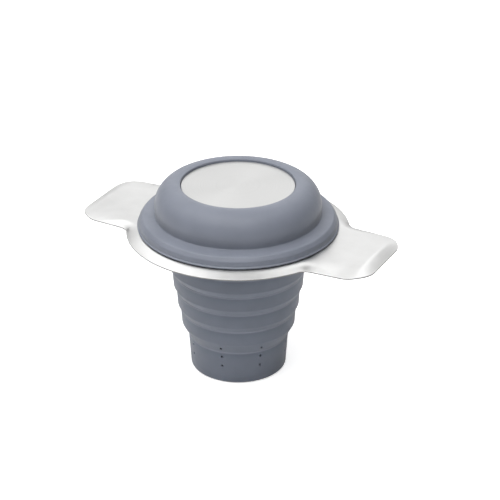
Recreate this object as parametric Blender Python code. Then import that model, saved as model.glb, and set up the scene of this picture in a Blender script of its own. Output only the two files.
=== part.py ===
"""Collapsible tea infuser with a lid: a steel plate with two wing handles carries a soft silicone
basket, folded at living hinges, and a domed silicone lid with a steel disc let into its top.

Frame: +Z up, +X along the wings, origin at the middle of the cup's underside. Lengths in metres.
"""
import math

import bmesh
import bpy

# Whole object
RIM_LEVEL = 0.0657            # height of the plate's outer edge, upper face
ROUND_STEPS = 40              # facets round every turned piece
GAP = 0.0003                  # clearance between touching pieces

# Rim plate, pressed from sheet
SHEET = 0.0006                # sheet thickness
RING_RADIUS = 0.0485          # outer radius between the wings
HOLE_RADIUS = 0.0363          # edge that the basket's collar grips
HOLE_EASE = 0.00003           # thinning of each face at the hole's punched edge
SEAT_RADIUS = 0.0388          # the land is flat from here out, clear of the collar's lips
LAND_RISE = 0.00185           # height of the flat land above the outer edge
WING_REACH = 0.0695           # from the middle to a wing's end
WING_HALF_WIDTH = 0.0226      # half width where the wing side passes WING_WIDTH_AT
WING_WIDTH_AT = 0.050
WING_TAPER = 0.05             # narrowing of the half width per unit of reach
WING_CORNER = 0.0115          # radius of the outer corners
WING_FILLET = 0.0060          # radius of the hollow corners against the ring
FLAT_RADIUS = 0.0430          # the land is flat out to here
FALL_POWER = 1.15             # slope of the ring outside it: 1 is straight
FALL_LONGEST = 0.018          # towards the wings the fall stretches to this
FALL_EASE = 0.005             # added length over which the fall's end turns soft
WING_ROOT = 0.0460            # the hollow corners begin here
CROWN_POWER = 2.2             # curve across the wings
BEND_WIDTH = 0.0055           # strip bent down at each wing's end
BEND_POWER = 1.25
FALL_SHARES = (0.0, 0.15, 0.3, 0.45, 0.6, 0.7, 0.8, 0.9, 1.0)

# Basket: a collar, four moving bands and a cup, joined by five fold webs
TOP_BAND_RADIUS = 0.0324     # outer radius at the top of the collar's own band
TOP_BAND_BELOW_RIM = 0.00086  # that place below RIM_LEVEL
BAND_COUNT = 5                # the collar's band and four moving bands
RADIUS_STEP = 0.00175         # one band to the next
BAND_TAPER = 0.0004           # narrowing down one band
BAND_HEIGHT = 0.00652
FOLD_HEIGHT = 0.00278         # height of the sloping web between two bands
CUP_FOLD_HEIGHT = 2 * FOLD_HEIGHT
BAND_WALL = 0.0009            # wall in the middle of a band
HINGE_WALL = 0.00045          # wall where a band thins towards a hinge
WEB_WALL = 0.0004             # wall of a fold web
HINGE_CHAMFER = 0.0016        # height of the thinned end of a band

# Strainer cup
CUP_TOP_RADIUS = 0.0221
CUP_FOOT_RADIUS = 0.0211
CUP_EDGE = 0.0010             # rounding of the foot
CUP_WALL = 0.0012
CUP_FLOOR = 0.0015
PIN_HOLE_RADIUS = 0.0005
PIN_COLUMNS = 8
PIN_TURN = math.radians(8.5)  # turn of the first column from +X
CUP_PIN_HEIGHTS = (0.0085, 0.0132)
WEB_PIN_HEIGHT = 0.0178
FLOOR_PIN_RINGS = ((0.006, 6), (0.012, 12))
PIN_SIDES = 6

# Collar that grips the plate's inner edge
COLLAR_BORE = 0.0334
COLLAR_TOP_LIP = 0.0389       # radius of the lip above the plate
COLLAR_LOW_LIP = 0.0385       # radius of the lip below the plate
COLLAR_LIP_THICK = 0.0009
COLLAR_LIP_EDGE = 0.0004      # chamfer of both lips

# Lid: silicone shell and steel disc
LID_RADIUS = 0.0435           # outer radius of the flange's rim
LID_GAP = 0.00041             # between the plate's land and the flange's rim
FLANGE_FACE_TOP = (0.0427, 0.0053)   # heights from here on are above RIM_LEVEL
FLANGE_SHOULDER = (0.0412, 0.0066)
DOME_FOOT = (0.0356, 0.0073)
DOME_WIDEST = (0.0361, 0.0112)
DOME_CREST = (0.0265, 0.0215)
RECESS_RIM = (0.0249, 0.0211)
RECESS_FLOOR = (0.0248, 0.0193)
LID_WALL = 0.0022
FLANGE_UNDER = 0.0044         # underside of the flange between rim and spigot
FLANGE_RIM_INSIDE = 0.0408
SPIGOT_OUTSIDE = 0.0328       # ring that seats in the collar's bore
SPIGOT_INSIDE = 0.0311
SPIGOT_END = 0.0009
DOME_ARC_STEPS = 6
DISC_RADIUS = 0.0244
DISC_THICK = 0.0008

SILICONE = (0.18, 0.20, 0.25, 1.0)
STEEL = (0.78, 0.78, 0.77, 1.0)


def clear_scene():
    for old in list(bpy.data.objects):
        bpy.data.objects.remove(old, do_unlink=True)


def make_material(name, colour, roughness, metallic):
    material = bpy.data.materials.new(name)
    material.use_nodes = True
    shader = material.node_tree.nodes["Principled BSDF"]
    shader.inputs["Base Color"].default_value = colour
    shader.inputs["Roughness"].default_value = roughness
    shader.inputs["Metallic"].default_value = metallic
    return material


def silicone(name):
    return make_material(name + "_silicone", SILICONE, 0.6, 0.0)


def steel(name):
    return make_material(name + "_steel", STEEL, 0.3, 1.0)


def add_object(name, mesh_builder, material):
    """Turn a closed bmesh into a named object with smooth sides and sharp edges."""
    bmesh.ops.recalc_face_normals(mesh_builder, faces=mesh_builder.faces)
    mesh = bpy.data.meshes.new(name)
    mesh_builder.to_mesh(mesh)
    mesh_builder.free()
    mesh.materials.append(material)
    mesh.shade_smooth()
    mesh.set_sharp_from_angle(angle=math.radians(35))
    node = bpy.data.objects.new(name, mesh)
    bpy.context.scene.collection.objects.link(node)
    return node


def turned(name, section, material):
    """Turn a closed (radius, height) section about the Z axis. Points on the axis become poles."""
    builder = bmesh.new()
    rows = []
    for radius, height in section:
        if radius == 0.0:
            rows.append([builder.verts.new((0.0, 0.0, height))])
            continue
        angles = (2 * math.pi * step / ROUND_STEPS for step in range(ROUND_STEPS))
        rows.append([builder.verts.new((radius * math.cos(angle), radius * math.sin(angle), height))
                     for angle in angles])
    for index, row in enumerate(rows):
        below = rows[(index + 1) % len(rows)]
        if len(row) == 1 and len(below) == 1:
            continue
        for step in range(ROUND_STEPS):
            after = (step + 1) % ROUND_STEPS
            corners = [row[0]] if len(row) == 1 else [row[step], row[after]]
            corners += [below[0]] if len(below) == 1 else [below[after], below[step]]
            builder.faces.new(corners)
    return add_object(name, builder, material)


# ---------------------------------------------------------------- rim plate

def arc_points(centre, radius, start, end, steps):
    """Points along an arc from one angle to the other, both ends included."""
    turns = (start + (end - start) * step / steps for step in range(steps + 1))
    return [(centre[0] + radius * math.cos(t), centre[1] + radius * math.sin(t)) for t in turns]


def wing_outline_quarter():
    """Plate outline from the ring's side at +Y round to the middle of the wing's end at +X."""
    side_angle = -math.atan(WING_TAPER)
    side_normal = (-math.sin(side_angle), math.cos(side_angle))
    side_offset = WING_HALF_WIDTH * side_normal[1] + WING_WIDTH_AT * side_normal[0]
    # The hollow corner touches the ring and the wing's side from outside.
    reach = RING_RADIUS + WING_FILLET
    lift = side_offset + WING_FILLET
    along = math.sqrt(reach * reach - lift * lift)
    fillet = (along * math.cos(side_angle) + lift * side_normal[0],
              along * math.sin(side_angle) + lift * side_normal[1])
    ring_turn = math.atan2(fillet[1], fillet[0])
    # The outer corner touches the wing's side and its end from inside.
    corner_x = WING_REACH - WING_CORNER
    corner_y = (side_offset - WING_CORNER - corner_x * side_normal[0]) / side_normal[1]
    side_turn = math.pi / 2 + side_angle
    points = arc_points((0, 0), RING_RADIUS, math.pi / 2, ring_turn, 8)
    points += arc_points(fillet, WING_FILLET, ring_turn + math.pi, 3 * math.pi / 2 + side_angle, 5)[1:]
    corner = arc_points((corner_x, corner_y), WING_CORNER, side_turn, 0, 5)
    last, first = points[-1], corner[0]
    points += [((2 * last[0] + first[0]) / 3, (2 * last[1] + first[1]) / 3),
               ((last[0] + 2 * first[0]) / 3, (last[1] + 2 * first[1]) / 3)]
    points += corner
    points += [(WING_REACH, corner_y / 2), (WING_REACH, 0.0)]
    return points


def plate_outline():
    """The whole outline, mirrored from one quarter, clockwise seen from above."""
    quarter = wing_outline_quarter()
    half = quarter + [(x, -y) for x, y in reversed(quarter[:-1])]
    return half + [(-x, y) for x, y in reversed(half[1:-1])]


def plate_height(x, y, reach):
    """Upper face of the sheet, on the ray to an outline point at that reach from the middle.

    A flat land, a ring falling to its edge, and wings crowned across and bent down at their ends."""
    length = min(reach - FLAT_RADIUS, FALL_LONGEST)
    fall = min(max(math.hypot(x, y) - FLAT_RADIUS, 0.0) / length, 1.0)
    ease = min((length + FLAT_RADIUS - RING_RADIUS) / FALL_EASE, 1.0)
    fall = fall ** FALL_POWER * (1 - ease) + fall * fall * (3 - 2 * fall) * ease
    root = min(max(WING_ROOT - abs(x), 0.0), WING_FILLET)
    half_width = WING_HALF_WIDTH - (abs(x) - WING_WIDTH_AT) * WING_TAPER + root * root / (2 * WING_FILLET)
    crown = 1 - min(abs(y) / half_width, 1.0) ** CROWN_POWER
    bend = max(abs(x) - (WING_REACH - BEND_WIDTH), 0.0) / BEND_WIDTH
    wing = crown * (1 - min(bend, 1.0) ** BEND_POWER)
    return RIM_LEVEL + LAND_RISE * (1 - fall * (1 - wing))


def plate_section(x, y):
    """Upper and lower points of the sheet, both from the hole to one outline point."""
    reach = math.hypot(x, y)
    radii = [(HOLE_RADIUS, HOLE_EASE), (SEAT_RADIUS, 0.0)]
    radii += [(FLAT_RADIUS + (reach - FLAT_RADIUS) * share, 0.0) for share in FALL_SHARES]
    upper, lower = [], []
    for radius, ease in radii:
        px, py = x * radius / reach, y * radius / reach
        pz = plate_height(px, py, reach)
        upper.append((px, py, pz - ease))
        lower.append((px, py, pz - SHEET + ease))
    return upper, lower


def build_rim_plate():
    outline = plate_outline()
    builder = bmesh.new()
    loops = []
    for x, y in outline:
        upper, lower = plate_section(x, y)
        loops.append([builder.verts.new(point) for point in upper + lower[::-1]])
    for index, loop in enumerate(loops):
        following = loops[(index + 1) % len(loops)]
        for row in range(len(loop)):
            below = (row + 1) % len(loop)
            builder.faces.new((loop[row], loop[below], following[below], following[row]))
    return add_object("rim_plate", builder, steel("rim_plate"))


# ---------------------------------------------------------------- basket

def band_top(index):
    """Outer radius and height at the top of a band, counted from the collar's own band as 0."""
    pitch = BAND_HEIGHT + FOLD_HEIGHT
    return TOP_BAND_RADIUS - index * RADIUS_STEP, RIM_LEVEL - TOP_BAND_BELOW_RIM - index * pitch


def band_bottom(index):
    radius, height = band_top(index)
    return radius - BAND_TAPER, height - BAND_HEIGHT


def band_inside(index):
    """Inner side of a band from its foot up: thick in the middle, thin at both hinges."""
    top_radius, top = band_top(index)
    foot_radius, foot = band_bottom(index)
    return [(foot_radius - HINGE_WALL, foot),
            (foot_radius - BAND_WALL, foot + HINGE_CHAMFER),
            (top_radius - BAND_WALL, top - HINGE_CHAMFER),
            (top_radius - HINGE_WALL, top)]


def build_collar():
    """U-shaped lip round the plate's inner edge, with the first band hanging from it."""
    land = RIM_LEVEL + LAND_RISE
    lip_under = land + GAP
    lip_top = lip_under + COLLAR_LIP_THICK
    low_top = land - SHEET - GAP
    low_under = low_top - COLLAR_LIP_THICK
    groove = HOLE_RADIUS - GAP
    top_radius, top = band_top(0)
    section = [(COLLAR_BORE, lip_top),
               (COLLAR_TOP_LIP - COLLAR_LIP_EDGE, lip_top),
               (COLLAR_TOP_LIP, lip_top - COLLAR_LIP_EDGE),
               (COLLAR_TOP_LIP, lip_under),
               (groove, lip_under),
               (groove, low_top),
               (COLLAR_LOW_LIP, low_top),
               (COLLAR_LOW_LIP, low_under + COLLAR_LIP_EDGE),
               (COLLAR_LOW_LIP - COLLAR_LIP_EDGE, low_under),
               (top_radius + COLLAR_LIP_THICK, low_under),
               (top_radius, top),
               band_bottom(0)]
    section += band_inside(0)[:3]
    section.append((COLLAR_BORE, low_under))
    return turned("basket_collar", section, silicone("basket_collar"))


def build_band(index):
    name = f"basket_band_{index}"
    section = [band_top(index), band_bottom(index)] + band_inside(index)
    return turned(name, section, silicone(name))


def web_section(upper, lower):
    """Thin cone between two hinge lines, kept clear of the pieces above and below."""
    (upper_radius, upper_height), (lower_radius, lower_height) = upper, lower
    slope = (upper_radius - lower_radius) / (upper_height - lower_height)
    start = (upper_radius - slope * GAP, upper_height - GAP)
    end = (lower_radius + slope * GAP, lower_height + GAP)
    return [start, end, (end[0] - WEB_WALL, end[1]), (start[0] - WEB_WALL, start[1])]


def cup_top():
    return CUP_TOP_RADIUS, band_bottom(BAND_COUNT - 1)[1] - CUP_FOLD_HEIGHT


def pin_cutter(name, pins):
    """Straight pins, each given by its two ends, as one cutting mesh that is never shown."""
    builder = bmesh.new()
    for start, end in pins:
        direction = [b - a for a, b in zip(start, end)]
        length = math.sqrt(sum(d * d for d in direction))
        axis = [d / length for d in direction]
        side = (0.0, 0.0, 1.0) if abs(axis[2]) < 0.5 else (1.0, 0.0, 0.0)
        other = (axis[1] * side[2] - axis[2] * side[1],
                 axis[2] * side[0] - axis[0] * side[2],
                 axis[0] * side[1] - axis[1] * side[0])
        rings = []
        for centre in (start, end):
            ring = []
            for step in range(PIN_SIDES):
                turn = 2 * math.pi * (step + 0.5) / PIN_SIDES
                reach = [PIN_HOLE_RADIUS * (math.cos(turn) * s + math.sin(turn) * o)
                         for s, o in zip(side, other)]
                ring.append(builder.verts.new([c + r for c, r in zip(centre, reach)]))
            rings.append(ring)
        builder.faces.new(rings[0])
        builder.faces.new(reversed(rings[1]))
        for step in range(PIN_SIDES):
            after = (step + 1) % PIN_SIDES
            builder.faces.new((rings[0][step], rings[1][step], rings[1][after], rings[0][after]))
    cutter = add_object(name, builder, silicone(name))
    cutter.hide_render = True
    cutter.display_type = "WIRE"
    return cutter


def side_pins(height, inner, outer):
    pins = []
    for column in range(PIN_COLUMNS):
        turn = PIN_TURN + 2 * math.pi * column / PIN_COLUMNS
        pins.append([(radius * math.cos(turn), radius * math.sin(turn), height)
                     for radius in (inner, outer)])
    return pins


def floor_pins():
    pins = []
    for radius, count in FLOOR_PIN_RINGS:
        for step in range(count):
            turn = 2 * math.pi * step / count
            x, y = radius * math.cos(turn), radius * math.sin(turn)
            pins.append([(x, y, -CUP_FLOOR), (x, y, 2 * CUP_FLOOR)])
    return pins


def cut(node, cutter):
    modifier = node.modifiers.new("pin_holes", "BOOLEAN")
    modifier.operation = "DIFFERENCE"
    modifier.object = cutter


def build_cup():
    top_radius, top = cup_top()
    edge = CUP_EDGE * (1 - math.sqrt(0.5))
    section = [(top_radius, top),
               (CUP_FOOT_RADIUS, CUP_EDGE),
               (CUP_FOOT_RADIUS - edge, edge),
               (CUP_FOOT_RADIUS - CUP_EDGE, 0.0),
               (0.0, 0.0),
               (0.0, CUP_FLOOR),
               (CUP_FOOT_RADIUS - CUP_WALL, CUP_FLOOR),
               (top_radius - CUP_WALL, top - HINGE_CHAMFER),
               (top_radius - HINGE_WALL, top)]
    cup = turned("strainer_cup", section, silicone("strainer_cup"))
    pins = floor_pins()
    for height in CUP_PIN_HEIGHTS:
        pins += side_pins(height, CUP_FOOT_RADIUS - 3 * CUP_WALL, CUP_TOP_RADIUS + CUP_WALL)
    cut(cup, pin_cutter("cup_pins", pins))
    return cup


def build_webs():
    """Fold webs 1 to 4 between the bands, and fold web 5, pierced by the top row of pins."""
    webs = []
    for index in range(BAND_COUNT - 1):
        name = f"fold_web_{index + 1}"
        section = web_section(band_bottom(index), band_top(index + 1))
        webs.append(turned(name, section, silicone(name)))
    name = f"fold_web_{BAND_COUNT}"
    web = turned(name, web_section(band_bottom(BAND_COUNT - 1), cup_top()), silicone(name))
    pins = side_pins(WEB_PIN_HEIGHT, CUP_TOP_RADIUS - 3 * CUP_WALL, CUP_TOP_RADIUS + 4 * CUP_WALL)
    cut(web, pin_cutter("web_pins", pins))
    return webs + [web]


# ---------------------------------------------------------------- lid

def above_rim(point):
    return point[0], RIM_LEVEL + point[1]


def dome_arc(inset):
    """Quarter ellipse from the dome's widest place up to its crest, moved in by a wall."""
    wide, tall = DOME_WIDEST[0] - DOME_CREST[0] - inset, DOME_CREST[1] - DOME_WIDEST[1] - inset
    turns = (math.pi / 2 * step / DOME_ARC_STEPS for step in range(DOME_ARC_STEPS + 1))
    return [above_rim((DOME_CREST[0] + wide * math.cos(turn), DOME_WIDEST[1] + tall * math.sin(turn)))
            for turn in turns]


def build_lid_shell():
    rim_under = LAND_RISE + LID_GAP
    recess_middle = ((DOME_CREST[0] + RECESS_RIM[0]) / 2,
                     DOME_CREST[1] - (DOME_CREST[1] - RECESS_RIM[1]) / 4)
    section = [above_rim((0.0, RECESS_FLOOR[1])), above_rim(RECESS_FLOOR), above_rim(RECESS_RIM),
               above_rim(recess_middle)]
    section += list(reversed(dome_arc(0.0)))
    section += [above_rim(DOME_FOOT),
                above_rim(FLANGE_SHOULDER),
                above_rim(FLANGE_FACE_TOP),
                above_rim((LID_RADIUS, rim_under)),
                above_rim((FLANGE_RIM_INSIDE, rim_under)),
                above_rim((FLANGE_RIM_INSIDE, FLANGE_UNDER)),
                above_rim((SPIGOT_OUTSIDE, FLANGE_UNDER)),
                above_rim((SPIGOT_OUTSIDE, SPIGOT_END)),
                above_rim((SPIGOT_INSIDE, SPIGOT_END)),
                above_rim((SPIGOT_INSIDE, DOME_FOOT[1]))]
    section += dome_arc(LID_WALL)[:-1]
    section += [above_rim((RECESS_FLOOR[0] + LID_WALL / 2, RECESS_FLOOR[1] - LID_WALL / 2)),
                above_rim((RECESS_FLOOR[0], RECESS_FLOOR[1] - LID_WALL * 3 / 4)),
                above_rim((0.0, RECESS_FLOOR[1] - LID_WALL * 3 / 4))]
    return turned("lid_shell", section, silicone("lid_shell"))


def build_lid_disc():
    under = RECESS_FLOOR[1] + GAP
    edge = DISC_THICK / 4
    section = [(0.0, under), (DISC_RADIUS, under), (DISC_RADIUS, under + DISC_THICK - edge),
               (DISC_RADIUS - edge, under + DISC_THICK), (0.0, under + DISC_THICK)]
    return turned("lid_disc", [above_rim(point) for point in section], steel("lid_disc"))


clear_scene()
build_rim_plate()
build_collar()
for band in range(1, BAND_COUNT):
    build_band(band)
build_webs()
build_cup()
build_lid_shell()
build_lid_disc()
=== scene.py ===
import math

import bmesh
import bpy
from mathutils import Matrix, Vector


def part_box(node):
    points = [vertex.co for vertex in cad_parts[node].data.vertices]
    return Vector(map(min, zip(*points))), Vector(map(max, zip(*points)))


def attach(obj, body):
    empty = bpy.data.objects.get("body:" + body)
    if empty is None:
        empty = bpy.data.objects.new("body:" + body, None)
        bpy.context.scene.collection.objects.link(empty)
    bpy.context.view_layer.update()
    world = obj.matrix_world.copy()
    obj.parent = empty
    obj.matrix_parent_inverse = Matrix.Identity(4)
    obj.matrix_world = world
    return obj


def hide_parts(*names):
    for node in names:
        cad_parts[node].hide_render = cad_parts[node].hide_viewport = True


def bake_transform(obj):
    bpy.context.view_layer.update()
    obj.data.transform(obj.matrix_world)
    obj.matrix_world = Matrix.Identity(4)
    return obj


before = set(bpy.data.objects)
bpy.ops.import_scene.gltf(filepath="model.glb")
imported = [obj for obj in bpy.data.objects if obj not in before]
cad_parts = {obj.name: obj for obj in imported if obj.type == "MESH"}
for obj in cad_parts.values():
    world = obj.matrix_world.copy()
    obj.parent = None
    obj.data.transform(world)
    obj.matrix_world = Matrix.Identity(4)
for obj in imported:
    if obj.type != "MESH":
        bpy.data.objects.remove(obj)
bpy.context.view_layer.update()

# ---------------------------------------------------------------- places, read from the frame
MM = 0.001
PLATE_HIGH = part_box("rim_plate")[1]
COLLAR_LOW, COLLAR_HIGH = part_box("basket_collar")
LID_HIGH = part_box("lid_shell")[1]
DISC_LOW, DISC_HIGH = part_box("lid_disc")
CUP_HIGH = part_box("strainer_cup")[1]

# Rim plate
LAND_RISE = 1.85 * MM                             # flat land above the plate's outer edge
RIM_LEVEL = PLATE_HIGH[2] - LAND_RISE             # upper face at the outer edge
SHEET = 0.6 * MM
RING_RADIUS = PLATE_HIGH[1]
HOLE_RADIUS = 36.3 * MM
WING_REACH = PLATE_HIGH[0]
WING_HALF_WIDTH = 22.6 * MM                       # where the wing side passes WING_WIDTH_AT
WING_WIDTH_AT = 50.0 * MM
WING_TAPER = 0.05
WING_CORNER = 11.5 * MM
WING_FILLET = 6.0 * MM
FLAT_RADIUS = 43.0 * MM                           # the land is flat out to here
FALL_POWER = 1.15                                 # slope of the ring outside it: 1 is straight
FALL_LONGEST = 18.0 * MM                          # towards the wings the fall stretches to this
FALL_EASE = 5.0 * MM                              # added length over which the fall's end turns soft
WING_ROOT = 46.0 * MM                             # the hollow corners begin here
CROWN_POWER = 2.2                                 # curve across the wings
BEND_WIDTH = 5.5 * MM                             # strip bent down at each wing's end
BEND_POWER = 1.25
CUT_ROUND = 0.1 * MM                              # rounding of the sheet's cut edge
CUT_STEPS = 3                                     # facets of each rounding
LAND_ROWS = 5
FALL_ROWS = 28
CUT_START = LAND_ROWS + FALL_ROWS + 2             # first row of faces on the cut edge
CUT_ROWS = range(CUT_START, CUT_START + 5)
OUTLINE_STEP = 1.0 * MM                           # longest stretch of the wings' straight sides

# Basket
BAND_COUNT = 5                                    # the collar's band and four moving bands
BAND_TAPER = 0.4 * MM
BAND_WALL = 0.9 * MM
HINGE_WALL = 0.45 * MM
HINGE_CHAMFER = 1.6 * MM
COLLAR_BORE = 33.4 * MM
CUP_WALL = 1.2 * MM
CUP_FLOOR = 1.5 * MM
CUP_FOOT_RADIUS = 21.1 * MM
CUP_FOOT_ROUND = 1.0 * MM
CUP_FLOOR_RIM = 1.6 * MM                          # flat ring between the foot's edge and the floor
BULGE_ROUND = 1.3 * MM                            # where a band's wall turns into the shoulder
CUP_BULGE_ROUND = 1.6 * MM
CREASE_STEP = 0.10 * MM                           # small step at the foot of each shoulder
CREASE_ROUND = 0.12 * MM
CREASE_ABOVE = 0.18 * MM                          # where the step starts, above the next wall's top
CREASE_BELOW = 0.02 * MM
PAINTED_HIGHLIGHT_WIDTH = 0.38 * MM                            # painted highlight: a pale line along each crease
PAINTED_SHADE_WIDTH = 2.4 * MM                            # painted shade: a darker band under each crease
BASKET_PAINTED_SHADE = 0.42                                # painted shade: the basket's outside is painted a little darker than the lid
INNER_ROUND = 0.8 * MM                            # inner side: along a wall, at a fold's top, at its foot
INNER_TOP_ROUND = 0.9 * MM
INNER_FOOT_ROUND = 0.5 * MM

# Pin holes
PIN_RADIUS = 0.5 * MM
PIN_COLUMNS = 8
PIN_TURN = math.radians(8.5)
PIN_HEIGHTS = (8.5 * MM, 13.2 * MM, 17.8 * MM)
FLOOR_PIN_RINGS = ((6 * MM, 6), (12 * MM, 12))
PIN_BLOCK = 1.10 * MM                             # half height and half width of the patch round a hole
PIN_CELLS = 4                                     # cells across a patch
PIN_SIDES = 4 * PIN_CELLS                         # one for each cell on the patch's border
PIN_MOUTH = 0.62 * MM                             # radius where a hole's edge is rounded off
SPACE_COLUMNS = 11                                # columns between two patches
PLAIN_FOOT = 3.0 * MM                             # the cup's side has no patches below this height

# Lid: radius, height above RIM_LEVEL and rounding, in millimetres
CREST_RADIUS = 26.5
WIDEST = (36.1, 11.2)
RECESS_CORNER = 24.75                             # radius at the recess's floor
RECESS_RIM = (24.85, 21.25, 0.25)
DISC_BED = 0.3                                    # the disc lies this far above the recess's floor
DOME_FOOT = (35.75, 7.25, 0.45)
FLANGE_SHOULDER = (41.4, 6.75, 1.3)
FLANGE_FACE_TOP = (42.75, 5.0, 1.6)
FLANGE_FACE_FOOT = (43.15, 2.95, 0.25)
LIP_TOP = (43.62, 2.62, 0.12)
LIP_FOOT = (43.62, 2.22, 0.1)
RIM_INSIDE_FOOT = (40.8, 2.22, 0.5)
RIM_INSIDE_TOP = (40.8, 4.4, 0.6)
SPIGOT_ROOT = (32.8, 4.4, 0.4)
SPIGOT_OUTSIDE = (32.8, 0.9, 0.5)
SPIGOT_INSIDE = (31.1, 0.9, 0.5)
SPIGOT_TOP = (31.1, 7.3, 2.0)
CEILING_EDGE = 25.9                               # radius where the hollow meets the ceiling
CEILING_EDGE_WALL = 1.1
CEILING_CORNER = 24.8
CEILING_WALL = 1.65                               # wall under the recess
LID_WALL = 2.2 * MM
LID_COLUMNS = 160
DOME_STEPS = 22
HOLLOW_STEPS = 12
HOLLOW_END = 0.42 * math.pi                       # where the hollow's curve gives way to the ceiling
DISC_EDGE = 0.1 * MM
LID_STEP = 2.0 * MM                               # longest stretch of the lid's and the disc's sections


# ---------------------------------------------------------------- outlines and sections

def unit(x, y):
    length = math.hypot(x, y)
    return x / length, y / length


def rounded(corners, steps=5):
    """A polyline whose corners (x, y, radius) are rounded by arcs. A radius of 0 stays sharp."""
    points = []
    for index, (x, y, radius) in enumerate(corners):
        if radius == 0 or index in (0, len(corners) - 1):
            points.append((x, y))
            continue
        ax, ay = unit(corners[index - 1][0] - x, corners[index - 1][1] - y)
        bx, by = unit(corners[index + 1][0] - x, corners[index + 1][1] - y)
        half = math.acos(max(-1.0, min(1.0, ax * bx + ay * by))) / 2
        mx, my = unit(ax + bx, ay + by)
        reach = radius / math.sin(half)
        cx, cy = x + mx * reach, y + my * reach
        cut = radius / math.tan(half)
        start = math.atan2(y + ay * cut - cy, x + ax * cut - cx)
        sweep = math.atan2(y + by * cut - cy, x + bx * cut - cx) - start
        sweep = (sweep + math.pi) % (2 * math.pi) - math.pi
        for step in range(steps + 1):
            turn = start + sweep * step / steps
            points.append((cx + radius * math.cos(turn), cy + radius * math.sin(turn)))
    return points


def divided(points, longest):
    """The same polyline with no stretch longer than the given length."""
    result = [points[0]]
    for (ax, ay), (bx, by) in zip(points, points[1:]):
        count = max(1, math.ceil(math.hypot(bx - ax, by - ay) / longest))
        result += [(ax + (bx - ax) * k / count, ay + (by - ay) * k / count) for k in range(1, count + 1)]
    return result


def finish_piece(name, builder, materials, sharp=40):
    """Turn a bmesh into a shown piece with smooth faces and sharp edges."""
    bmesh.ops.recalc_face_normals(builder, faces=builder.faces)
    mesh = bpy.data.meshes.new(name)
    builder.to_mesh(mesh)
    builder.free()
    for material in materials:
        mesh.materials.append(material)
    mesh.shade_smooth()
    mesh.set_sharp_from_angle(angle=math.radians(sharp))
    piece = bpy.data.objects.new(name, mesh)
    bpy.context.scene.collection.objects.link(piece)
    return piece


def ring_of(builder, radius, height, angles):
    if radius < 1e-7:
        return [builder.verts.new((0.0, 0.0, height))]
    return [builder.verts.new((radius * math.cos(a), radius * math.sin(a), height)) for a in angles]


def join_rings(builder, upper, lower, skip=lambda column: False):
    """Faces between two rings. A ring of one vertex is a pole."""
    count = max(len(upper), len(lower))
    for column in range(count):
        if skip(column):
            continue
        after = (column + 1) % count
        corners = [upper[0]] if len(upper) == 1 else [upper[column], upper[after]]
        corners += [lower[0]] if len(lower) == 1 else [lower[after], lower[column]]
        builder.faces.new(corners)


def turned(section, angles):
    """A closed (radius, height) section turned about the Z axis."""
    builder = bmesh.new()
    rings = [ring_of(builder, radius, height, angles) for radius, height in section]
    for index, ring in enumerate(rings):
        following = rings[(index + 1) % len(rings)]
        if len(ring) > 1 or len(following) > 1:
            join_rings(builder, ring, following)
    return builder


def even_angles(count):
    return [2 * math.pi * step / count for step in range(count)]


# ---------------------------------------------------------------- materials

class Nodes:
    """Short calls for building one material's node tree."""

    def __init__(self, name):
        self.material = bpy.data.materials.new(name)
        self.material.use_nodes = True
        self.tree = self.material.node_tree
        self.shader = self.tree.nodes["Principled BSDF"]
        self.place = self.tree.nodes.new("ShaderNodeTexCoord").outputs["Object"]

    def add(self, kind, inputs=None, **settings):
        node = self.tree.nodes.new(kind)
        for key, value in settings.items():
            setattr(node, key, value)
        for key, value in (inputs or {}).items():
            if isinstance(value, bpy.types.NodeSocket):
                self.tree.links.new(value, node.inputs[key])
            else:
                node.inputs[key].default_value = value
        return node

    def maths(self, operation, *values):
        return self.add("ShaderNodeMath", dict(enumerate(values)), operation=operation).outputs[0]

    def stretched(self, scale, source=None):
        mapping = self.add("ShaderNodeMapping", {"Vector": source or self.place, "Scale": scale})
        return mapping.outputs["Vector"]

    def noise(self, scale, detail=2.0, vector=None):
        inputs = {"Vector": vector or self.place, "Scale": scale, "Detail": detail}
        return self.add("ShaderNodeTexNoise", inputs).outputs["Fac"]

    def spread(self, value, low, high, from_low=0.3, from_high=0.7):
        inputs = {"Value": value, "From Min": from_low, "From Max": from_high,
                  "To Min": low, "To Max": high}
        return self.add("ShaderNodeMapRange", inputs).outputs["Result"]

    def blend_colours(self, factor, first, second):
        node = self.add("ShaderNodeMix", {0: factor}, data_type="RGBA")
        node.inputs[6].default_value = first
        node.inputs[7].default_value = second
        return node.outputs[2]

    def bump(self, height, strength, distance, under=None):
        inputs = {"Height": height, "Strength": strength, "Distance": distance}
        if under is not None:
            inputs["Normal"] = under
        return self.add("ShaderNodeBump", inputs).outputs["Normal"]

    def link(self, output, socket):
        self.tree.links.new(output, self.shader.inputs[socket])

    def fix(self, **values):
        """Constants on the shader's own sockets."""
        for socket, value in values.items():
            self.shader.inputs[socket.replace("_", " ")].default_value = value


SILICONE_DEEP = (0.149, 0.163, 0.199, 1)
SILICONE_PALE = (0.166, 0.181, 0.220, 1)
PAINTED_SHADE_TINT = (0.68, 0.74, 0.80, 1)                 # painted shade: multiplies the silicone's colour under each crease, and more weakly over the whole basket
WHITE = (1, 1, 1, 1)
SHEET_DARK = (0.64, 0.64, 0.635, 1)
SHEET_LIGHT = (0.69, 0.69, 0.685, 1)
# painted dark reflection: colours that make the sheet's cut edge far darker than the steel
CUT_DARK = (0.20, 0.20, 0.20, 1)
CUT_LIGHT = (0.30, 0.30, 0.295, 1)
DISC_DARK = (0.55, 0.55, 0.545, 1)


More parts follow.
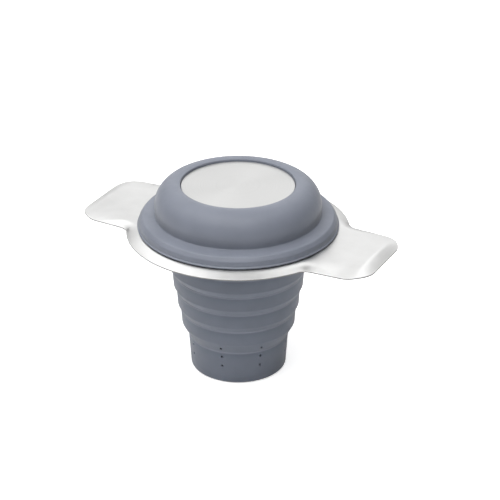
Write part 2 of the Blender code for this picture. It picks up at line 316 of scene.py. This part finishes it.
def silicone_material():
    """Matt moulded silicone: faint cloudiness, a fine eroded grain and soft gloss, with painted highlights
    and painted shade at the basket's creases.
    """
    nodes = Nodes("moulded_silicone")
    cloud = nodes.noise(90, 3.0)
    grain = nodes.noise(5200, 2.0)
    base = nodes.blend_colours(nodes.spread(cloud, 0, 1), SILICONE_DEEP, SILICONE_PALE)
    # painted highlight along the basket's creases, and painted shade under them and over the basket, stored
    # per vertex
    painted_light_and_shade = nodes.add("ShaderNodeAttribute", attribute_name="painted_light_and_shade").outputs["Fac"]
    painted_highlight = nodes.maths("ADD", nodes.spread(painted_light_and_shade, 0.0, 0.42, 0.0, 1.0), 1.0)
    painted_shade = nodes.blend_colours(nodes.spread(painted_light_and_shade, 0.0, 1.0, -1.0, 0.0), PAINTED_SHADE_TINT, WHITE)
    with_painted_highlight = nodes.add("ShaderNodeVectorMath", {0: base, "Scale": painted_highlight}, operation="SCALE").outputs[0]
    nodes.link(nodes.add("ShaderNodeVectorMath", {0: with_painted_highlight, 1: painted_shade}, operation="MULTIPLY").outputs[0],
               "Base Color")
    nodes.link(nodes.spread(nodes.noise(400, 3.0), 0.46, 0.56), "Roughness")
    swell = nodes.bump(nodes.noise(160, 2.0), 0.25, 0.05 * MM)
    nodes.link(nodes.bump(grain, 0.35, 0.02 * MM, swell), "Normal")
    nodes.fix(IOR=1.41, Sheen_Weight=0.16, Sheen_Roughness=0.5)
    return nodes.material


def plate_steel_material():
    """Stainless sheet, softly brushed, with a faint cloudiness."""
    nodes = Nodes("plate_brushed_steel")
    streaks = nodes.noise(1.0, 3.0, nodes.stretched((160, 3600, 3600)))
    fine = nodes.noise(1.0, 2.0, nodes.stretched((900, 5200, 5200)))
    cloud = nodes.noise(120, 3.0)
    nodes.link(nodes.blend_colours(nodes.spread(cloud, 0, 1), SHEET_DARK, SHEET_LIGHT), "Base Color")
    rough = nodes.maths("ADD", nodes.spread(streaks, 0.30, 0.37), nodes.spread(cloud, -0.03, 0.03))
    nodes.link(rough, "Roughness")
    nodes.link(nodes.bump(fine, 0.06, 0.02 * MM), "Normal")
    tangent = nodes.add("ShaderNodeCombineXYZ", {"X": 1.0})
    nodes.link(tangent.outputs["Vector"], "Tangent")
    nodes.fix(Metallic=1.0, Anisotropic=0.25)
    return nodes.material


def cut_edge_painted_dark_material():
    """The sheet's sheared edge: the same steel, rougher, with its colour darkened as a painted dark
    reflection.
    """
    nodes = Nodes("plate_cut_edge_painted_dark")
    grain = nodes.noise(1.0, 2.0, nodes.stretched((2400, 2400, 5200)))
    nodes.link(nodes.blend_colours(nodes.spread(grain, 0, 1), CUT_DARK, CUT_LIGHT), "Base Color")
    nodes.link(nodes.spread(grain, 0.42, 0.55), "Roughness")
    nodes.link(nodes.bump(grain, 0.2, 0.02 * MM), "Normal")
    nodes.fix(Metallic=1.0)
    return nodes.material


def disc_steel_material():
    """Stainless disc with turned brushing: fine rings round the middle."""
    nodes = Nodes("disc_turned_steel")
    parts = nodes.add("ShaderNodeSeparateXYZ", {"Vector": nodes.place})
    square = nodes.maths("ADD", nodes.maths("POWER", parts.outputs["X"], 2.0),
                         nodes.maths("POWER", parts.outputs["Y"], 2.0))
    radius = nodes.maths("SQRT", square)
    along = nodes.add("ShaderNodeCombineXYZ", {"X": radius})
    rings = nodes.noise(4200, 3.0, along.outputs["Vector"])
    broad = nodes.noise(900, 2.0, along.outputs["Vector"])
    nodes.link(nodes.blend_colours(nodes.spread(rings, 0, 1), DISC_DARK, SHEET_LIGHT), "Base Color")
    nodes.link(nodes.spread(broad, 0.28, 0.36), "Roughness")
    nodes.link(nodes.bump(rings, 0.12, 0.01 * MM), "Normal")
    tangent = nodes.add("ShaderNodeTangent", direction_type="RADIAL", axis="Z")
    nodes.link(tangent.outputs["Tangent"], "Tangent")
    nodes.fix(Metallic=1.0, Anisotropic=0.8, Anisotropic_Rotation=0.25)
    return nodes.material


SILICONE = silicone_material()
PLATE_STEEL = plate_steel_material()
CUT_EDGE_PAINTED_DARK = cut_edge_painted_dark_material()
DISC_STEEL = disc_steel_material()


# ---------------------------------------------------------------- rim plate

def arc_points(centre, radius, start, end, steps):
    turns = (start + (end - start) * step / steps for step in range(steps + 1))
    return [(centre[0] + radius * math.cos(t), centre[1] + radius * math.sin(t)) for t in turns]


def wing_outline_quarter():
    """Plate outline from the ring's side at +Y round to the middle of the wing's end at +X."""
    side_angle = -math.atan(WING_TAPER)
    normal = (-math.sin(side_angle), math.cos(side_angle))
    offset = WING_HALF_WIDTH * normal[1] + WING_WIDTH_AT * normal[0]
    reach, lift = RING_RADIUS + WING_FILLET, offset + WING_FILLET
    along = math.sqrt(reach * reach - lift * lift)
    fillet = (along * math.cos(side_angle) + lift * normal[0],
              along * math.sin(side_angle) + lift * normal[1])
    ring_turn = math.atan2(fillet[1], fillet[0])
    corner_x = WING_REACH - WING_CORNER
    corner_y = (offset - WING_CORNER - corner_x * normal[0]) / normal[1]
    points = arc_points((0, 0), RING_RADIUS, math.pi / 2, ring_turn, 44)
    points += arc_points(fillet, WING_FILLET, ring_turn + math.pi, 3 * math.pi / 2 + side_angle, 10)[1:]
    corner = arc_points((corner_x, corner_y), WING_CORNER, math.pi / 2 + side_angle, 0, 20)
    side = divided([points[-1], corner[0]], OUTLINE_STEP)
    end = divided([corner[-1], (WING_REACH, 0.0)], OUTLINE_STEP)
    return points + side[1:-1] + corner + end[1:]


def plate_outline():
    """The whole outline, mirrored from one quarter, clockwise seen from above."""
    quarter = wing_outline_quarter()
    half = quarter + [(x, -y) for x, y in reversed(quarter[:-1])]
    return half + [(-x, y) for x, y in reversed(half[1:-1])]


def plate_height(x, y, reach):
    """Upper face of the sheet, on the ray to an outline point at that reach from the middle.

    A flat land, a ring falling to its edge, and wings crowned across and bent down at their ends."""
    length = min(reach - FLAT_RADIUS, FALL_LONGEST)
    fall = min(max(math.hypot(x, y) - FLAT_RADIUS, 0.0) / length, 1.0)
    ease = min((length + FLAT_RADIUS - RING_RADIUS) / FALL_EASE, 1.0)
    fall = fall ** FALL_POWER * (1 - ease) + fall * fall * (3 - 2 * fall) * ease
    root = min(max(WING_ROOT - abs(x), 0.0), WING_FILLET)
    half_width = WING_HALF_WIDTH - (abs(x) - WING_WIDTH_AT) * WING_TAPER + root * root / (2 * WING_FILLET)
    crown = 1 - min(abs(y) / half_width, 1.0) ** CROWN_POWER
    bend = max(abs(x) - (WING_REACH - BEND_WIDTH), 0.0) / BEND_WIDTH
    wing = crown * (1 - min(bend, 1.0) ** BEND_POWER)
    return RIM_LEVEL + LAND_RISE * (1 - fall * (1 - wing))


def plate_section(x, y, inward):
    """One closed loop of the sheet: upper face out from the hole, cut edge, lower face back."""
    edge_x, edge_y = x + inward[0] * CUT_ROUND, y + inward[1] * CUT_ROUND
    reach = math.hypot(edge_x, edge_y)
    radii = [HOLE_RADIUS + (FLAT_RADIUS - HOLE_RADIUS) * row / LAND_ROWS for row in range(LAND_ROWS)]
    radii += [FLAT_RADIUS + (reach - FLAT_RADIUS) * row / FALL_ROWS for row in range(FALL_ROWS + 1)]
    upper = []
    for share in (radius / reach for radius in radii):
        px, py = edge_x * share, edge_y * share
        upper.append((px, py, plate_height(px, py, reach)))
    top = upper[-1][2]
    edge = []
    for middle, start in ((top - CUT_ROUND, math.pi / 2), (top - SHEET + CUT_ROUND, 0.0)):
        for step in range(CUT_STEPS + 1):
            turn = start - math.pi / 2 * step / CUT_STEPS
            out = CUT_ROUND * (1 - math.cos(turn))
            edge.append((x + inward[0] * out, y + inward[1] * out, middle + CUT_ROUND * math.sin(turn)))
    return upper[:-1] + edge + [(px, py, pz - SHEET) for px, py, pz in reversed(upper[:-1])]


def build_plate():
    outline = plate_outline()
    builder = bmesh.new()
    loops = []
    for index, (x, y) in enumerate(outline):
        before, after = outline[index - 1], outline[(index + 1) % len(outline)]
        tx, ty = unit(after[0] - before[0], after[1] - before[1])
        loops.append([builder.verts.new(place) for place in plate_section(x, y, (ty, -tx))])
    for index, loop in enumerate(loops):
        following = loops[(index + 1) % len(loops)]
        for row in range(len(loop)):
            below = (row + 1) % len(loop)
            face = builder.faces.new((loop[row], loop[below], following[below], following[row]))
            face.material_index = int(row in CUT_ROWS)
    plate = finish_piece("plate_surface", builder, (PLATE_STEEL, CUT_EDGE_PAINTED_DARK))
    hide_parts("rim_plate")
    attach(plate, "rim")
    return plate


# ---------------------------------------------------------------- basket

def band_levels(index):
    """(top radius, top height, foot radius, foot height) of a band; 0 is the collar's own band."""
    if index == 0:
        low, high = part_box("basket_band_1")
        step_radius = high[0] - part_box("basket_band_2")[1][0]
        pitch = high[2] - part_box("basket_band_2")[1][2]
        top_radius, top = high[0] + step_radius, high[2] + pitch
        return top_radius, top, top_radius - BAND_TAPER, COLLAR_LOW[2]
    low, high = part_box(f"basket_band_{index}")
    return high[0], high[2], high[0] - BAND_TAPER, low[2]


def basket_angles():
    """Columns round the basket, closer together where the pin holes are."""
    near = PIN_BLOCK / CUP_HIGH[0]
    sector = 2 * math.pi / PIN_COLUMNS
    angles = []
    for column in range(PIN_COLUMNS):
        middle = PIN_TURN + column * sector
        angles += [middle + near * step / 2 for step in range(-PIN_CELLS // 2, PIN_CELLS // 2)]
        angles += [middle + near + (sector - 2 * near) * step / SPACE_COLUMNS
                   for step in range(SPACE_COLUMNS)]
    return angles


BASKET_ANGLES = basket_angles()


def crease_corners(radius, height):
    """Corners of the little step between a shoulder's foot and the top of the next wall."""
    return [(radius - CREASE_STEP, height + CREASE_ABOVE, CREASE_ROUND),
            (radius + 0.4 * CREASE_STEP, height - CREASE_BELOW, CREASE_ROUND)]


def paint_basket_light_and_shade(piece):
    """Store, for the material, a painted highlight (+) along the creases and painted shade (-) under them,
    with weaker painted shade over the rest of the basket.
    """
    tops = [band_levels(index)[1] for index in range(1, BAND_COUNT)] + [CUP_HIGH[2]]
    layer = piece.data.attributes.new("painted_light_and_shade", "FLOAT", "POINT")
    for vertex in piece.data.vertices:
        painted_highlight = max(math.exp(-((vertex.co.z - top) / PAINTED_HIGHLIGHT_WIDTH) ** 2) for top in tops)
        below = [(top - vertex.co.z) / PAINTED_SHADE_WIDTH for top in tops if vertex.co.z < top]
        painted_shade = math.exp(-min(below) ** 2) if below else 0.0
        layer.data[vertex.index].value = painted_highlight - (BASKET_PAINTED_SHADE + painted_shade * (1 - BASKET_PAINTED_SHADE)) * (1 - painted_highlight)


def fold_sides(index):
    """Outer and inner sides, top to bottom, of the fold under a band: half walls and the web."""
    top_radius, top, foot_radius, foot = band_levels(index)
    next_radius, next_top, next_foot_radius, next_foot = band_levels(index + 1)
    upper_mid = ((top_radius + foot_radius) / 2, (top + foot) / 2)
    lower_mid = ((next_radius + next_foot_radius) / 2, (next_top + next_foot) / 2)
    outer = [upper_mid + (0,), (foot_radius, foot, BULGE_ROUND)]
    outer += crease_corners(next_radius, next_top) + [lower_mid + (0,)]
    inner = [(upper_mid[0] - BAND_WALL, upper_mid[1], 0),
             (foot_radius - BAND_WALL, foot + HINGE_CHAMFER, INNER_ROUND),
             (foot_radius - HINGE_WALL, foot, INNER_TOP_ROUND),
             (next_radius - HINGE_WALL, next_top, INNER_FOOT_ROUND),
             (next_radius - BAND_WALL, next_top - HINGE_CHAMFER, INNER_ROUND),
             (lower_mid[0] - BAND_WALL, lower_mid[1], 0)]
    return divided(rounded(outer), 0.45 * MM), divided(rounded(inner), 0.6 * MM)


def collar_sides():
    """Outer and inner sides of the collar and its own band, down to that band's middle."""
    top_radius, top, foot_radius, foot = band_levels(0)
    lip_top = COLLAR_HIGH[2]
    land = RIM_LEVEL + LAND_RISE
    gap, lip, nose = 0.3 * MM, 0.9 * MM, 0.4 * MM
    groove, reach_top, reach_low = HOLE_RADIUS - gap, COLLAR_HIGH[0], COLLAR_HIGH[0] - 0.4 * MM
    low_under = land - SHEET - gap - lip
    middle = ((top_radius + foot_radius) / 2, (top + foot) / 2)
    outer = [(COLLAR_BORE + 0.5 * MM, lip_top, 0),
             (reach_top, lip_top, nose),
             (reach_top, land + gap, 0.15 * MM),
             (groove, land + gap, 0.1 * MM),
             (groove, land - SHEET - gap, 0.1 * MM),
             (reach_low, land - SHEET - gap, 0.15 * MM),
             (reach_low, low_under, nose),
             (top_radius + lip, low_under, 0.5 * MM),
             (top_radius, top, 0.8 * MM),
             middle + (0,)]
    inner = [(COLLAR_BORE + 0.5 * MM, lip_top, 0),
             (COLLAR_BORE, lip_top, 0.35 * MM),
             (COLLAR_BORE, low_under, 0.8 * MM),
             (top_radius - BAND_WALL, top - HINGE_CHAMFER, INNER_ROUND),
             (middle[0] - BAND_WALL, middle[1], 0)]
    return divided(rounded(outer), 0.8 * MM), divided(rounded(inner), 0.8 * MM)


def build_collar_fold():
    """The collar, its band, the first web and half of the band below, in one moulding."""
    collar_outer, collar_inner = collar_sides()
    outer, inner = fold_sides(0)
    section = collar_outer + outer[1:] + inner[::-1] + collar_inner[::-1][1:-1]
    piece = finish_piece("basket_fold_1", turned(section, BASKET_ANGLES), (SILICONE,))
    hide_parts("basket_collar", "fold_web_1")
    return piece


def build_fold(index):
    outer, inner = fold_sides(index)
    name = f"basket_fold_{index + 1}"
    piece = finish_piece(name, turned(outer + inner[::-1], BASKET_ANGLES), (SILICONE,))
    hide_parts(f"basket_band_{index}", f"fold_web_{index + 1}")
    return piece


def height_profile(side):
    """Radius as a function of height along a side whose height only falls."""
    def radius_at(height):
        for (ar, ah), (br, bh) in zip(side, side[1:]):
            if ah >= height >= bh:
                return ar if ah == bh else ar + (br - ar) * (ah - height) / (ah - bh)
        return side[-1][0] if height < side[-1][1] else side[0][0]
    return radius_at


def cup_sides():
    """Outer and inner sides from the middle of the last band down to the cup's floor."""
    top_radius, top, foot_radius, foot = band_levels(BAND_COUNT - 1)
    cup_radius, cup_top = CUP_HIGH[0], CUP_HIGH[2]
    middle = ((top_radius + foot_radius) / 2, (top + foot) / 2)
    outer = [middle + (0,), (foot_radius, foot, CUP_BULGE_ROUND)]
    outer += crease_corners(cup_radius, cup_top)
    outer += [(CUP_FOOT_RADIUS, 0.0, CUP_FOOT_ROUND), (CUP_FOOT_RADIUS - CUP_FLOOR_RIM, 0.0, 0)]
    inner = [(middle[0] - BAND_WALL, middle[1], 0),
             (foot_radius - BAND_WALL, foot + HINGE_CHAMFER, INNER_ROUND),
             (foot_radius - HINGE_WALL, foot, INNER_TOP_ROUND),
             (cup_radius - HINGE_WALL, cup_top, INNER_FOOT_ROUND),
             (cup_radius - CUP_WALL, cup_top - HINGE_CHAMFER, INNER_ROUND),
             (CUP_FOOT_RADIUS - CUP_WALL, CUP_FLOOR, INNER_ROUND),
             (CUP_FOOT_RADIUS - CUP_WALL - 1.2 * MM, CUP_FLOOR, 0)]
    return rounded(outer), rounded(inner)


def pin_rows(side):
    """Heights of the rows on a side: its own corners, thinned out, and the rows round the pins."""
    heights = [height for _, height in divided(side, 0.6 * MM) if height > PLAIN_FOOT]
    for pin in PIN_HEIGHTS:
        heights = [h for h in heights if abs(h - pin) > PIN_BLOCK + 0.05 * MM]
        heights += [pin + PIN_BLOCK * step / 2 for step in range(-PIN_CELLS // 2, PIN_CELLS // 2 + 1)]
    return sorted(set(heights), reverse=True)


def pierced_side(builder, side, outward):
    """One side of the cup's wall with pin holes. Returns its last ring and each hole's edge loops."""
    radius_at = height_profile(side)
    rows = pin_rows(side)
    rings = [ring_of(builder, radius_at(h), h, BASKET_ANGLES) for h in rows]
    starts = [min(range(len(rows)), key=lambda row: abs(rows[row] - pin - PIN_BLOCK))
              for pin in PIN_HEIGHTS]
    per_sector = len(BASKET_ANGLES) // PIN_COLUMNS

    def in_block(row, column):
        beside = any(start <= row < start + PIN_CELLS for start in starts)
        return beside and column % per_sector < PIN_CELLS

    for row in range(len(rings) - 1):
        join_rings(builder, rings[row], rings[row + 1], lambda column: in_block(row, column))
    holes = []
    for start in starts:
        for sector in range(PIN_COLUMNS):
            left = sector * per_sector
            foot, right = start + PIN_CELLS, left + PIN_CELLS
            border = [rings[start][left + k] for k in range(PIN_CELLS)]
            border += [rings[start + k][right] for k in range(PIN_CELLS)]
            border += [rings[foot][right - k] for k in range(PIN_CELLS)]
            border += [rings[foot - k][left] for k in range(PIN_CELLS)]
            pin = PIN_HEIGHTS[starts.index(start)]
            holes.append(pin_edge(builder, border, pin, sector, radius_at, outward))
            for row in range(start + 1, foot):
                for k in range(1, PIN_CELLS):
                    vertex = rings[row][left + k]
                    if not vertex.link_faces:
                        builder.verts.remove(vertex)
    lower = [(r, h) for r, h in side if h <= PLAIN_FOOT]
    last = rings[-1]
    for radius, height in lower:
        ring = ring_of(builder, radius, height, BASKET_ANGLES)
        join_rings(builder, last, ring)
        last = ring
    return rings[0], last, holes


def join_loops(builder, first, second):
    for step in range(len(first)):
        after = (step + 1) % len(first)
        builder.faces.new((first[step], first[after], second[after], second[step]))


def pin_edge(builder, border, pin, sector, radius_at, outward):
    """Rounds the patch inside a border down into a hole's edge, and returns the inmost loop."""
    middle = PIN_TURN + sector * 2 * math.pi / PIN_COLUMNS
    outer_loop = border
    # each loop's radius and its depth under the surface
    for reach, sink in ((PIN_MOUTH + 0.12 * MM, 0.0), (PIN_MOUTH, 0.015 * MM),
                        (PIN_RADIUS + 0.03 * MM, 0.07 * MM), (PIN_RADIUS, 0.16 * MM)):
        loop = []
        for step in range(PIN_SIDES):
            turn = 3 * math.pi / 4 + 2 * math.pi * step / PIN_SIDES
            height = pin + reach * math.sin(-turn + 3 * math.pi / 2)
            radius = radius_at(height) - sink * outward
            angle = middle - reach * math.cos(turn - math.pi / 2) / radius
            loop.append(builder.verts.new((radius * math.cos(angle), radius * math.sin(angle), height)))
        loop = aligned(loop, outer_loop)
        join_loops(builder, outer_loop, loop)
        outer_loop = loop
    return outer_loop


def aligned(loop, border):
    """The loop turned or reversed so that each vertex faces its nearest on the border."""
    count = len(loop)
    options = []
    for candidate in (loop, loop[::-1]):
        for shift in range(count):
            turned_loop = candidate[shift:] + candidate[:shift]
            gap = sum((a.co - b.co).length for a, b in zip(turned_loop, border))
            options.append((gap, len(options), turned_loop))
    return min(options)[2]


def fill_floor(builder, rim, height, pins):
    """A flat floor inside a ring, open at each pin's loop."""
    edges = [builder.edges.get((a, b)) or builder.edges.new((a, b)) for a, b in zip(rim, rim[1:] + rim[:1])]
    loops = []
    for x, y in pins:
        loop = [builder.verts.new((x + PIN_RADIUS * math.cos(t), y + PIN_RADIUS * math.sin(t), height))
                for t in even_angles(PIN_SIDES)]
        edges += [builder.edges.new((a, b)) for a, b in zip(loop, loop[1:] + loop[:1])]
        loops.append(loop)
    bmesh.ops.triangle_fill(builder, use_beauty=True, use_dissolve=False, edges=edges)
    return loops


def build_cup_fold():
    """Half of the last band, the tall web and the cup, with every pin hole open."""
    outer, inner = cup_sides()
    builder = bmesh.new()
    outer_top, outer_low, outer_holes = pierced_side(builder, outer, 1)
    inner_top, inner_low, inner_holes = pierced_side(builder, inner, -1)
    join_rings(builder, inner_top, outer_top)
    for first, second in zip(outer_holes, inner_holes):
        join_loops(builder, first, aligned(second, first))
    pins = []
    for radius, count in FLOOR_PIN_RINGS:
        pins += [(radius * math.cos(t), radius * math.sin(t)) for t in even_angles(count)]
    under = fill_floor(builder, outer_low, 0.0, pins)
    over = fill_floor(builder, inner_low, CUP_FLOOR, pins)
    for first, second in zip(under, over):
        join_loops(builder, first, second)
    piece = finish_piece("basket_fold_5", builder, (SILICONE,))
    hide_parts(f"basket_band_{BAND_COUNT - 1}", f"fold_web_{BAND_COUNT}", "strainer_cup")
    return piece


def build_basket():
    folds = [build_collar_fold()] + [build_fold(index) for index in range(1, BAND_COUNT - 1)]
    folds.append(build_cup_fold())
    for index, fold in enumerate(folds):
        paint_basket_light_and_shade(fold)
        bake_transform(fold)
    return folds


# ---------------------------------------------------------------- lid

LID_ANGLES = even_angles(LID_COLUMNS)


def above_rim(radius_mm, height_mm, rounding_mm=0.0):
    return radius_mm * MM, RIM_LEVEL + height_mm * MM, rounding_mm * MM


def ellipse_quarter(centre, wide, tall, start, end, steps):
    turns = (start + (end - start) * step / steps for step in range(steps + 1))
    return [(centre[0] + wide * math.cos(t), centre[1] + tall * math.sin(t)) for t in turns]


def build_lid_shell():
    """Domed silicone lid: recess for the disc, rolled crest, flange, rim and locating spigot."""
    crest = (CREST_RADIUS * MM, LID_HIGH[2])
    widest = above_rim(*WIDEST)[:2]
    wide, tall = widest[0] - crest[0], crest[1] - widest[1]
    floor = (DISC_LOW[2] - RIM_LEVEL) / MM - DISC_BED
    recess = rounded([above_rim(0, floor), above_rim(RECESS_CORNER, floor, 0.15), above_rim(*RECESS_RIM),
                      (crest[0], crest[1], 0)])
    dome = ellipse_quarter((crest[0], widest[1]), wide, tall, math.pi / 2, 0, DOME_STEPS)
    corners = (DOME_FOOT, FLANGE_SHOULDER, FLANGE_FACE_TOP, FLANGE_FACE_FOOT, LIP_TOP, LIP_FOOT,
                    RIM_INSIDE_FOOT, RIM_INSIDE_TOP, SPIGOT_ROOT, SPIGOT_OUTSIDE, SPIGOT_INSIDE, SPIGOT_TOP)
    flange = rounded([widest + (0,)] + [above_rim(*corner) for corner in corners]
                     + [(widest[0] - LID_WALL, widest[1], 0)])
    hollow = ellipse_quarter((crest[0], widest[1]), wide - LID_WALL, tall - LID_WALL, 0, HOLLOW_END,
                             HOLLOW_STEPS)
    ceiling = rounded([hollow[-1] + (0,), above_rim(CEILING_EDGE, floor - CEILING_EDGE_WALL, 1.0),
                       above_rim(CEILING_CORNER, floor - CEILING_WALL, 0.8),
                       above_rim(0, floor - CEILING_WALL)])
    section = divided(recess + dome[1:] + flange[1:] + hollow[1:] + ceiling[1:], LID_STEP)
    piece = finish_piece("lid_moulding", turned(section, LID_ANGLES), (SILICONE,), sharp=50)
    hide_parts("lid_shell")
    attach(piece, "lid")
    return piece


def build_lid_disc():
    """Turned steel disc with a softly broken edge, lying in the lid's recess."""
    radius, low, high = DISC_HIGH[0], DISC_LOW[2], DISC_HIGH[2]
    section = rounded([(0, high, 0), (radius, high, DISC_EDGE), (radius, low, DISC_EDGE), (0, low, 0)])
    section = divided(section, LID_STEP)
    piece = finish_piece("lid_disc_surface", turned(section, LID_ANGLES), (DISC_STEEL,))
    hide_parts("lid_disc")
    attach(piece, "lid")
    return piece


# ---------------------------------------------------------------- studio

VIEW_AZIMUTH = math.radians(27.5)
VIEW_ELEVATION = math.radians(26.9)
VIEW_DISTANCE = 784 * MM
VIEW_LENS = 130.4
AIM_RIGHT = 5.1 * MM          # the middle of the view, from the middle of the plate
AIM_UP = -9.7 * MM
FLOOR_REACH = 0.8             # half the floor's width: all of it is well lit
FLOOR_GLOW = 0.55             # keeps the floor white without lighting the object
FLOOR_BELOW = 0.2 * MM        # the floor's gap to the cup
BOX_DISTANCE = 1.1
BOX_SIZE = (0.9, 0.8)
STRIP_SIZE = (0.9, 0.5)
KEY_POWER = 9.0               # the key light stands high at the front left
FILL_POWER = KEY_POWER / 2    # front and left, to keep the key's shadows soft
BACK_POWER = KEY_POWER / 4    # each box of the curtain that the steel mirrors
STRIP_POWER = KEY_POWER / 5   # low strip behind, which the wings and the disc mirror
BACK_TURNS = (140, 185, 230)  # the curtain stands a little to the left, as the key does
HIGH, MIDDLE, LOW = 70, 48, 15  # how far up the lights stand, in degrees


def view_axes():
    """The camera's right, up and backward directions."""
    sa, ca = math.sin(VIEW_AZIMUTH), math.cos(VIEW_AZIMUTH)
    se, ce = math.sin(VIEW_ELEVATION), math.cos(VIEW_ELEVATION)
    back = Vector((sa * ce, -ca * ce, se))
    right = Vector((ca, sa, 0.0))
    return right, back.cross(right), back


def build_camera():
    right, up, back = view_axes()
    data = bpy.data.cameras.new("camera")
    data.lens = VIEW_LENS
    data.clip_start, data.clip_end = 0.05, 20
    camera = bpy.data.objects.new("camera", data)
    aim = Vector((0, 0, RIM_LEVEL)) + right * AIM_RIGHT + up * AIM_UP
    camera.location = aim + back * VIEW_DISTANCE
    camera.rotation_mode = "QUATERNION"
    camera.rotation_quaternion = back.to_track_quat("Z", "Y")
    bpy.context.scene.collection.objects.link(camera)
    bpy.context.scene.camera = camera


def build_floor():
    builder = bmesh.new()
    corners = [builder.verts.new((x * FLOOR_REACH, y * FLOOR_REACH, 0))
               for x, y in ((-1, -1), (1, -1), (1, 1), (-1, 1))]
    builder.faces.new(corners)
    mesh = bpy.data.meshes.new("floor")
    builder.to_mesh(mesh)
    builder.free()
    material = bpy.data.materials.new("white_floor")
    material.use_nodes = True
    shader = material.node_tree.nodes["Principled BSDF"]
    shader.inputs["Base Color"].default_value = (0.9, 0.9, 0.9, 1)
    shader.inputs["Roughness"].default_value = 0.9
    shader.inputs["Specular IOR Level"].default_value = 0.1
    shader.inputs["Emission Color"].default_value = WHITE
    path = material.node_tree.nodes.new("ShaderNodeLightPath")
    glow = material.node_tree.nodes.new("ShaderNodeMapRange")
    material.node_tree.links.new(path.outputs["Is Camera Ray"], glow.inputs["Value"])
    glow.inputs["To Max"].default_value = FLOOR_GLOW
    material.node_tree.links.new(glow.outputs["Result"], shader.inputs["Emission Strength"])
    mesh.materials.append(material)
    floor = bpy.data.objects.new("floor", mesh)
    floor.location.z = -FLOOR_BELOW
    bpy.context.scene.collection.objects.link(floor)


def build_world():
    """Pale studio air: white behind the object, and no light of its own."""
    world = bpy.data.worlds.new("studio_air")
    bpy.context.scene.world = world
    world.use_nodes = True
    tree = world.node_tree
    background = tree.nodes["Background"]
    path = tree.nodes.new("ShaderNodeLightPath")
    tree.links.new(path.outputs["Is Camera Ray"], background.inputs["Strength"])
    background.inputs["Color"].default_value = WHITE


def build_light(name, turn, lift, size, power):
    """A soft light aimed at the plate's middle.

    turn is measured from the camera's side, anticlockwise from above, and lift up from the level."""
    azimuth = VIEW_AZIMUTH - math.pi / 2 + math.radians(turn)
    tilt = math.radians(lift)
    flat = math.cos(tilt)
    direction = Vector((math.cos(azimuth) * flat, math.sin(azimuth) * flat, math.sin(tilt)))
    data = bpy.data.lights.new(name, "AREA")
    data.shape = "RECTANGLE"
    data.size, data.size_y = size
    data.energy = power
    lamp = bpy.data.objects.new(name, data)
    lamp.location = Vector((0, 0, RIM_LEVEL)) + direction * BOX_DISTANCE
    lamp.rotation_mode = "QUATERNION"
    lamp.rotation_quaternion = direction.to_track_quat("Z", "Y")
    lamp.visible_camera = False
    bpy.context.scene.collection.objects.link(lamp)


def build_lights():
    """One key, two fills at half its power, and a curtain behind and a right fill at a quarter."""
    build_light("key", 330, HIGH, BOX_SIZE, KEY_POWER)
    build_light("front_fill", 0, MIDDLE, BOX_SIZE, FILL_POWER)
    build_light("left_fill", 270, MIDDLE, BOX_SIZE, FILL_POWER)
    build_light("right_fill", 60, HIGH, STRIP_SIZE, BACK_POWER)
    for turn in BACK_TURNS:
        build_light(f"back_{turn}", turn, MIDDLE, BOX_SIZE, BACK_POWER)
    build_light("low_back", 180, LOW, STRIP_SIZE, STRIP_POWER)


def build_studio():
    bpy.context.scene.view_settings.view_transform = "Standard"
    build_camera()
    build_floor()
    build_world()
    build_lights()


build_studio()
build_plate()
build_basket()
build_lid_shell()
build_lid_disc()
